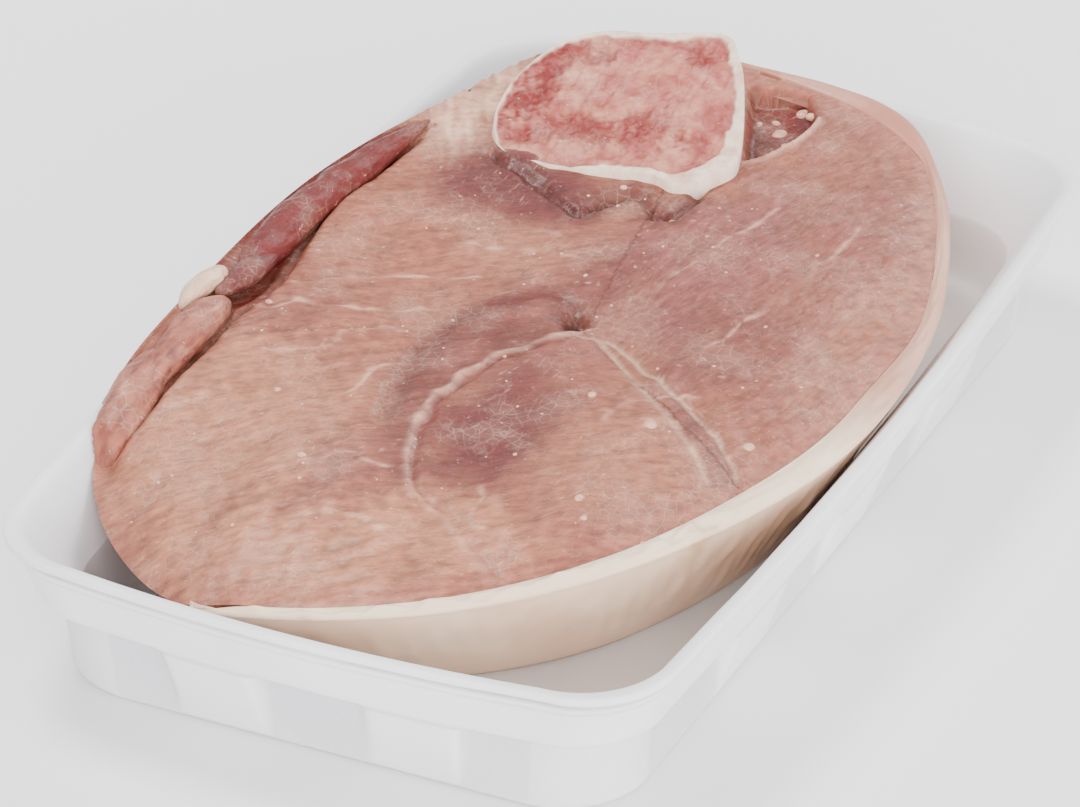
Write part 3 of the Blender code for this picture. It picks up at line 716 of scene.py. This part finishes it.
# Band of fat and rind: a closed section (foot, slanting rind, cut fat, inner side) carried along the
# edge.
def buildFat(mat):
    wide = np.arange(2880) / 2880 * math.tau
    has = edgeAt(wide)[2] >= 0.5
    first = np.nonzero(has & ~np.roll(has, 1))[0][0]
    last = first
    while has[(last + 1) % 2880]:
        last += 1
    angle = np.linspace(wide[first], wide[first] + (last - first) / 2880 * math.tau, fatSet["steps"])[:,
            None]
    _, _, width = edgeAt(angle % math.tau)
    taper = smooth(np.minimum(np.linspace(0, 1, fatSet["steps"]) * 30,
            np.linspace(1, 0, fatSet["steps"]) * 7.5)[:, None])
    width = width * (0.12 + 0.88 * taper)
    up = np.linspace(0, 1, 30)[None]
    s = np.linspace(0, 1, fatSet["steps"])[:, None] * 480
    swell = 0.5 * np.sin(up * math.pi) + 0.25 * waves(s, up * 30, 40, 61) * np.sin(up * math.pi)
    swell = swell + 0.22 * waves(s, up * 22, 9, 63) * np.sin(up * math.pi)
    wrinkle = bell((s - fatSet["wrinkle"][0] + 4 * waves(up * 30, 0 * s, 14, 64)) / 4, 1.0)
    swell = swell - 0.5 * wrinkle * np.sin(up * math.pi)
    rind = sideAt((angle + 0 * up) % math.tau, up + 0 * angle, swell)
    rind[..., 2] -= 0.5 * smooth((up - 0.9) * 10)
    cut = np.linspace(0, 1, 14)[None]
    crown = sideAt((angle + 0 * cut) % math.tau, 1.0 + 0 * (angle + cut), 0.0)
    crown = inward(crown, 0.5 + (width - 0.5) * cut)
    lumpy = smooth((160 - s) / 20) * (0.45 * waves(s, cut * 8, 9, 65) - 0.9 * bell(s - fatSet["notch"],
            2.2))
    crown[..., 2] += lumpy * np.sin(cut * math.pi)
    crown[..., 2] += 0.5 * np.sin(cut * math.pi) + 0.12 * waves(s, cut * 20, 14, 62) - 0.1
    down = np.linspace(1, 0, 6)[None]
    inner = inward(sideAt((angle + 0 * down) % math.tau, down + 0 * angle, 0.0), width)
    ring = np.concatenate([rind, crown, inner], 1)
    n = ring.shape[1]
    middle = ring.mean(1, keepdims=True)
    ring = np.concatenate([middle[:1] + (ring[:1] - middle[:1]) * k for k in (0.0, 0.7)] + [ring]
                          + [middle[-1:] + (ring[-1:] - middle[-1:]) * k for k in (0.7, 0.0)])
    pad = lambda f: np.concatenate([f[:1], f[:1], f, f[-1:], f[-1:]])
    x, y, z = ring[..., 0], ring[..., 1], ring[..., 2]
    peach, fatWhite = linear(fatTones["peach"]), linear(fatTones["white"])
    pink = linear(fatTones["pink"])
    onCut = np.zeros((fatSet["steps"], n))
    onCut[:, 30:44] = 1
    onCut[:, 44:] = 1
    onCut[:, 28:30] = (0.3, 0.7)
    onCut = pad(onCut)
    tone = mix(peach, linear(fatTones["shade"]), 0.5 + 0.4 * waves(x, y + z, 30, 71))
    # Painted shade: the rind darker towards its foot, low in the tray.
    tone = mix(tone, linear(fatTones["foot"]), 0.2 * smooth((9 - z) / 6))
    tone = mix(tone, mix(fatWhite, peach, 0.3 + 0.3 * waves(x, y, 12, 72)), onCut)
    tone = mix(tone, pink, (0.3 + 0.4 * onCut) * smooth((y + 22) / 32) + 0.25 * smooth((y - 60) / 30))
    for px, py, pz, size in fatSet["stains"]:
        far = np.sqrt(((x - px) / 1.3) ** 2 + ((y - py) / 1.3) ** 2 + ((z - pz) / 3.5) ** 2) / size
        tone = mix(tone, linear(fatTones["stain"]), 0.55 * smooth(1.5 - far + 0.2 * waves(x, y + z, 5, 73)))
    tone = mix(tone, pink, 0.4 * bell(np.hypot(x - fatSet["seam"][0], y - fatSet["seam"][1]), 1.2))
    sPad = pad(np.broadcast_to(s, (fatSet["steps"], n)).copy())
    uv = np.stack([sPad, z + onCut * 9], -1) * mm
    return gridPiece("fatRind", ring[:, ::-1], mat, closeU=True,
            fields={"tone": tone[:, ::-1]}, uv=uv[:, ::-1])


boneSet = {
    "edge": ((9.3, 61.8), (3.5, 77.0), (-1.5, 85.5), (-7.0, 90.3), (-20.0, 86.8), (-31.0, 84.0),
             (-38.0, 77.5), (-41.7, 67.0), (-41.0, 56.0), (-35.5, 48.3), (-25.0, 46.4), (-13.0, 48.8),
             (-4.5, 50.0),
             (2.2, 49.2), (7.6, 55.0)),
    "centre": (-16.0, 67.0), "z": 44.6, "lean": 0.27, "footShare": 0.86, "footShift": (0.0, -9.0),
    "rim": 1.9, "around": 420,
    # red marrow: plan middle, half sizes, strength
    "red": ((-37.0, 65.0, 6.0, 13.0, 1.0), (-33.0, 77.5, 7.0, 4.0, 0.8), (-21.0, 58.5, 11.0, 4.5, 0.85),
            (-10.0, 63.0, 7.0, 4.0, 0.75), (-9.0, 82.5, 4.0, 2.5, 0.7), (-16.0, 85.5, 12.0, 1.8, 0.6),
            (-33.0, 54.0, 6.0, 4.0, 0.6), (1.0, 60.0, 3.0, 4.0, 0.4)),
}
boneTones = {"rim": (236, 210, 190), "pale": (192, 124, 104), "rosy": (164, 84, 76), "red": (126, 34, 34),
        "foot": (140, 84, 72)}
boneLook = {
    "streakScale": 300, "stretch": (1.0, 1.0, 1.0), "blotchScale": 120, "speckScale": 900, "cellScale": 650,
    "dark": (200, 150, 144), "darkShare": 0.5, "pale": (226, 186, 164), "paleShare": 0.25,
    "thread": (236, 206, 184), "threadShare": 0.12, "speckShare": 0.5, "roughLow": 0.38,
    "roughHigh": 0.6, "under": 0.04, "coat": 0.06, "coatRough": 0.25, "specular": 0.22,
    "bumpStreak": 0.5, "bumpCell": 0.6, "bumpSpeck": 0.4,
}


# Bone: the sawn outline drawn in to its middle for the face, and drawn in and moved to the foot for
# the side.
def buildBone(mat):
    cx, cy = boneSet["centre"]
    outline = smoothPath(boneSet["edge"], boneSet["around"], closed=True) - (cx, cy)
    reach = np.hypot(outline[:, 0], outline[:, 1])
    rows, kinds = [], []
    for share in np.linspace(0, 1, 24):
        size = boneSet["footShare"] + (1 - boneSet["footShare"]) * share
        x, y = outline[:, 0] * size, outline[:, 1] * size
        top = boneSet["z"] + boneSet["lean"] * outline[:, 1]
        roundOff = 0.5 * smooth((share - 0.93) * 14)
        x, y = x * (1 - roundOff / reach), y * (1 - roundOff / reach)
        z = sliceSet["footZ"] + (top - sliceSet["footZ"]) * share - 0.1 * roundOff
        rows.append(np.stack([x + cx + boneSet["footShift"][0] * (1 - share), y + cy
                + boneSet["footShift"][1] * (1 - share), z], -1))
        kinds.append(np.full(len(x), -1.0))
    for d in np.concatenate([np.linspace(0.6, 6, 28), np.linspace(0, 1, 92)[1:] + 6]):
        share = 1 - d / reach if d <= 6 else (1 - 6 / reach) * (1 - (d - 6))
        x, y = outline[:, 0] * share, outline[:, 1] * share
        z = boneSet["z"] + boneSet["lean"] * y
        rows.append(np.stack([x + cx, y + cy, z], -1))
        kinds.append(reach * (1 - share))
    p, inset = np.array(rows), np.array(kinds)
    x, y = p[..., 0], p[..., 1]
    face = (inset >= 0).astype(float)
    rimW = boneSet["rim"] * (0.4 + 0.6 * smooth((x + 36) / 18)) + 0.4 * waves(x, y, 12,
            81) + 0.2 * waves(x, y, 3, 80)
    rimW = rimW + 2.2 * bell(np.hypot(x - 2, y - 51), 6) + 1.6 * bell(np.hypot(x - 7, y - 62), 7)
    rimW = rimW - 0.7 * smooth((60 - y) / 6) * smooth((-12 - x) / 6)
    marrow = smooth((inset - rimW) / 0.7) * face
    p[..., 2] += face * (-0.45 * marrow + (0.20 * waves(x, y, 2.6, 82) + 0.16 * waves(x, y, 6, 83)) * marrow
                         + 0.15 * waves(x, y, 10, 84) * (1 - marrow))
    t = {key: linear(value) for key, value in boneTones.items()}
    tone = mix(t["pale"], t["rosy"], 0.5 + 0.4 * waves(x, y, 9, 85) + 0.3 * waves(x, y, 3.5, 88))
    for zx, zy, rx, ry, strength in boneSet["red"]:
        rag = 0.3 * waves(x, y, 6, 86) + 0.22 * waves(x, y, 2.2, 87)
        tone = mix(tone, t["red"], strength * smooth(1.3 - np.hypot((x - zx) / rx, (y - zy) / ry) + rag))
    tone = mix(tone, t["red"], 0.3 * smooth(waves(x, y, 2.0, 89) - 0.9))
    tone = mix(mix(t["rim"], t["pale"], 0.35 * smooth(0.3 + waves(x, y, 7, 90)) * smooth((x + 6) / 6)),
            tone, marrow)
    sideShade = smooth((p[..., 2] - 20) / 20)
    tone = mix(tone, mix(t["foot"], t["rim"], sideShade), 1 - face)
    uv = np.stack([x, y], -1) * mm
    return gridPiece("boneEnd", p, mat, closeU=True, fields={"tone": tone}, uv=uv)


foldSet = {
    # path of the middle with its radius, how flat, and tone: each fold is a soft roll along the side
    "folds": (
        ("foldLow", ((-60.6, -72.0, 22.0, 2.0), (-61.6, -65.0, 26.5, 4.2), (-61.6, -57.0, 30.8, 4.6),
                     (-62.0, -48.0, 33.0, 4.2), (-62.6, -39.0, 34.6, 2.6)), 1.0, "flap"),
        ("foldMid", ((-60.2, -57.0, 33.6, 1.2), (-60.4, -47.0, 34.4, 2.9), (-60.8, -36.0, 34.8, 3.8),
                     (-60.2, -27.0, 35.6, 3.9), (-59.4, -20.0, 36.0, 2.4)), 0.9, "flap"),
        ("foldKnob", ((-65.2, -28.0, 36.6, 1.0), (-65.0, -23.0, 38.0, 2.2), (-63.0, -17.0, 38.8, 2.0),
                      (-61.2, -16.0, 38.8, 1.0)), 0.9, "fat"),
        ("foldSkin", ((-61.0, -21.5, 37.6, 1.4), (-59.0, -13.0, 38.0, 2.8), (-57.4, -4.0, 38.2, 1.5)),
         0.8, "mauve"),
        ("foldRed", ((-59.8, -16.0, 36.8, 2.4), (-60.2, -3.0, 37.6, 4.0), (-59.4, 10.0, 38.4, 4.1),
                     (-57.6, 23.0, 39.2, 3.6), (-55.4, 34.0, 40.0, 3.0), (-53.6, 43.0, 40.5, 2.0),
                     (-51.8, 51.0, 40.8, 0.9)), 0.9, "red"),
    ),
    "turns": 48, "steps": 150,
    # plan place and radius of the fat grains
    "grains": ((8.2, 83.0, 1.5), (5.5, 87.5, 1.0), (10.5, 79.5, 0.8), (3.2, 84.0, 0.7),
               (12.2, 89.0, 1.3), (9.5, 91.0, 1.6), (31.0, -28.4, 1.3), (29.5, -55.3, 0.8),
               (32.3, -60.1, 0.7), (48.7, -24.4, 1.1),
               (17.4, -24.0, 0.8), (-50.5, -20.0, 0.8), (-37.0, -44.0, 0.7), (-22.0, -63.0, 0.9),
               (5.0, 39.5, 1.0),
               (-9.0, 47.0, 0.8)),
}


# Each fold: circles of changing radius along a smooth path, with soft lumps, drawn to a point at its
# ends.
def buildFolds(mat):
    made = []
    for name, path, flat, key in foldSet["folds"]:
        line = smoothPath(path, foldSet["steps"])
        mid, radius = line[:, :3], np.maximum(line[:, 3], 0.2)
        ahead = np.gradient(mid, axis=0)
        ahead /= np.linalg.norm(ahead, axis=1, keepdims=True)
        across = np.cross(ahead, (0, 0, 1.0))
        across /= np.linalg.norm(across, axis=1, keepdims=True)
        over = np.cross(across, ahead)
        share = np.linspace(0, 1, foldSet["steps"])
        ends = np.sqrt(np.clip(1 - np.abs(2 * share - 1) ** 6, 0, 1))
        angle = np.linspace(0, math.tau, foldSet["turns"], endpoint=False)
        run = np.cumsum(np.r_[0, np.linalg.norm(np.diff(mid, axis=0), axis=1)])[:, None]
        lump = 1 + 0.07 * waves(run, np.cos(angle)[None] * 4, 9, 91) + 0.035 * waves(run * 0.3,
                angle[None] * 4, 1.6, 92)
        r = (radius * ends)[:, None] * lump
        p = (mid[:, None] + across[:, None] * (r * np.cos(angle))[..., None]
             + over[:, None] * (r * np.sin(angle) * flat)[..., None])
        turned, far = np.arctan2(p[..., 1] - cy0, p[..., 0] - cx0), np.hypot(p[..., 0] - cx0, p[..., 1]
                - cy0)
        held = np.minimum(far, wallAt(turned, np.minimum(p[..., 2], 31.0)) - 0.8
                + 6.0 * smooth((p[..., 2] - 31.4) / 3))
        p[..., 0], p[..., 1] = cx0 + held * np.cos(turned), cy0 + held * np.sin(turned)
        x, y = p[..., 0], p[..., 1]
        base, other = linear(leanTones[key]), linear(leanTones["flapRed" if key == "flap" else "mauve"])
        if key == "fat":
            other = linear(leanTones["membrane"])
        streaky = 0.35 + 0.3 * waves(run * 0.25, angle[None] * 3, 2.0, 93) + 0.15 * waves(x, y, 3, 94)
        tone = mix(base, other, streaky)
        # Painted shade on each fold's inward side, stronger on the flap folds.
        inwardShade = smooth((-np.cos(angle)[None] * 0.8 - 0.3) + 0 * r)
        tone = mix(tone, linear(leanTones["deep"]), (0.5 if key == "flap" else 0.2) * inwardShade)
        uv = np.stack([run + 0 * r, angle[None] * 3 + 0 * r], -1) * mm
        made.append(gridPiece(name, p[:, ::-1], mat,
                closeU=True,
                              fields={"tone": tone[:, ::-1]}, uv=uv[:, ::-1]))
    return made


# Small fat grains: flattened domes set on the nearest point of the cut face, all in one mesh.
def buildGrains(mat, face):
    count = len(face.data.vertices)
    spots = np.empty(count * 3, np.float32)
    face.data.vertices.foreach_get("co", spots)
    spots = spots.reshape(-1, 3) / mm
    rng = np.random.default_rng(17)
    extra = np.stack([rng.uniform(-48, 50, 70), rng.uniform(-85, 60, 70), rng.uniform(0.18, 0.42, 70)], -1)
    grains = np.concatenate([np.array(foldSet["grains"]), extra])
    up, turn = np.meshgrid(np.linspace(-0.35, math.pi / 2, 8),
            np.linspace(0, math.tau, 14, endpoint=False), indexing="ij")
    dome = np.stack([np.cos(up) * np.cos(turn), np.cos(up) * np.sin(turn), 0.6 * np.sin(up)], -1)
    made = []
    for gx, gy, size in grains:
        near = np.argmin(np.hypot(spots[:, 0] - gx, spots[:, 1] - gy))
        stretch = np.array([1.0, rng.uniform(0.7, 1.5), 1.0])
        made.append(spots[near] + dome * size * stretch - (0, 0, 0.1 * size))
    grid = np.concatenate([np.concatenate([m, m[-1:]]) for m in made])
    rows = grid.shape[0] // len(made)
    fields = np.broadcast_to(linear(leanTones["membrane"]), grid.shape).copy()
    piece = gridPiece("fatGrains", grid, mat, closeU=True, fields={"tone": fields},
            uv=grid[..., :2] * mm)
    bridges = np.zeros((grid.shape[0] - 1, grid.shape[1]), bool)
    bridges[rows - 1::rows] = True
    work = bmesh.new()
    work.from_mesh(piece.data)
    work.faces.ensure_lookup_table()
    bmesh.ops.delete(work, geom=[work.faces[i] for i in np.nonzero(bridges.reshape(-1))[0]],
            context="FACES_ONLY")
    work.to_mesh(piece.data)
    work.free()
    return piece


cameraSet = {"place": (0.5020, -1.0779, 0.7316), "yaw": 25.165, "pitch": 30.979, "lens": 247.13,
        "sensor": 36.0}
lightSet = {
    "world": (1.0, 1.0),
    # name, place, size, watts
    "areas": (("key", (-0.45, 0.15, 1.05), 0.4, 13.0), ("fill", (0.5, -1.1, 0.35), 0.9, 24.0),
              ("back", (0.25, 0.9, 0.7), 0.7, 8.0), ("side", (1.1, -0.25, 0.28), 0.7, 12.0)),
}


# Pale floor under the pack, four soft area lights, an even pale world and the camera.
def buildStage():
    m = Nodes("floor")
    coords = m.add("ShaderNodeTexCoord").outputs["Object"]
    m.join(m.blend((0.86, 0.86, 0.86), (0.9, 0.9, 0.9), m.noise(coords, 3)), m.shader.inputs["Base Color"])
    m.shader.inputs["Roughness"].default_value = 0.9
    mesh = bpy.data.meshes.new("floor")
    mesh.from_pydata([(-6, -6, -0.0002), (6, -6, -0.0002), (6, 6, -0.0002), (-6, 6, -0.0002)], [],
            [(0, 1, 2, 3)])
    mesh.materials.append(m.mat)
    floor = bpy.data.objects.new("floor", mesh)
    bpy.context.scene.collection.objects.link(floor)
    world = bpy.data.worlds.new("studio")
    world.use_nodes = True
    tone, strength = lightSet["world"]
    world.node_tree.nodes["Background"].inputs[0].default_value = (tone, tone, tone, 1)
    world.node_tree.nodes["Background"].inputs[1].default_value = strength
    bpy.context.scene.world = world
    for name, place, size, watts in lightSet["areas"]:
        light = bpy.data.lights.new(name, "AREA")
        light.size, light.energy = size, watts
        lamp = bpy.data.objects.new(name, light)
        lamp.location = place
        lamp.rotation_euler = (-Vector(place)).to_track_quat("-Z", "Y").to_euler()
        bpy.context.scene.collection.objects.link(lamp)
    yaw, pitch = math.radians(cameraSet["yaw"]), math.radians(cameraSet["pitch"])
    ahead = Vector((-math.sin(yaw) * math.cos(pitch), math.cos(yaw) * math.cos(pitch), -math.sin(pitch)))
    data = bpy.data.cameras.new("camera")
    data.lens, data.sensor_width = cameraSet["lens"], cameraSet["sensor"]
    data.clip_start, data.clip_end = 0.05, 30
    camera = bpy.data.objects.new("camera", data)
    camera.location = cameraSet["place"]
    camera.rotation_euler = ahead.to_track_quat("-Z", "Y").to_euler()
    bpy.context.scene.collection.objects.link(camera)
    bpy.context.scene.camera = camera


trayPiece = buildTray(foamMaterial())
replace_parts(trayPiece, "tray")
print("tray built")
facePiece, sidePiece = buildLean(fleshMaterial("lean meat", leanLook))
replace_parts(facePiece, "lean_meat")
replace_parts(sidePiece, "lean_meat")
print("lean meat built")
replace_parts(buildFat(fleshMaterial("fat and rind", fatLook)), "fat_band")
print("fat and rind built")
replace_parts(buildBone(fleshMaterial("cut bone", boneLook)), "bone")
print("bone built")
buildFolds(bpy.data.materials["lean meat"])
buildGrains(bpy.data.materials["lean meat"], facePiece)
print("folds and grains built")
buildStage()
print("stage built")
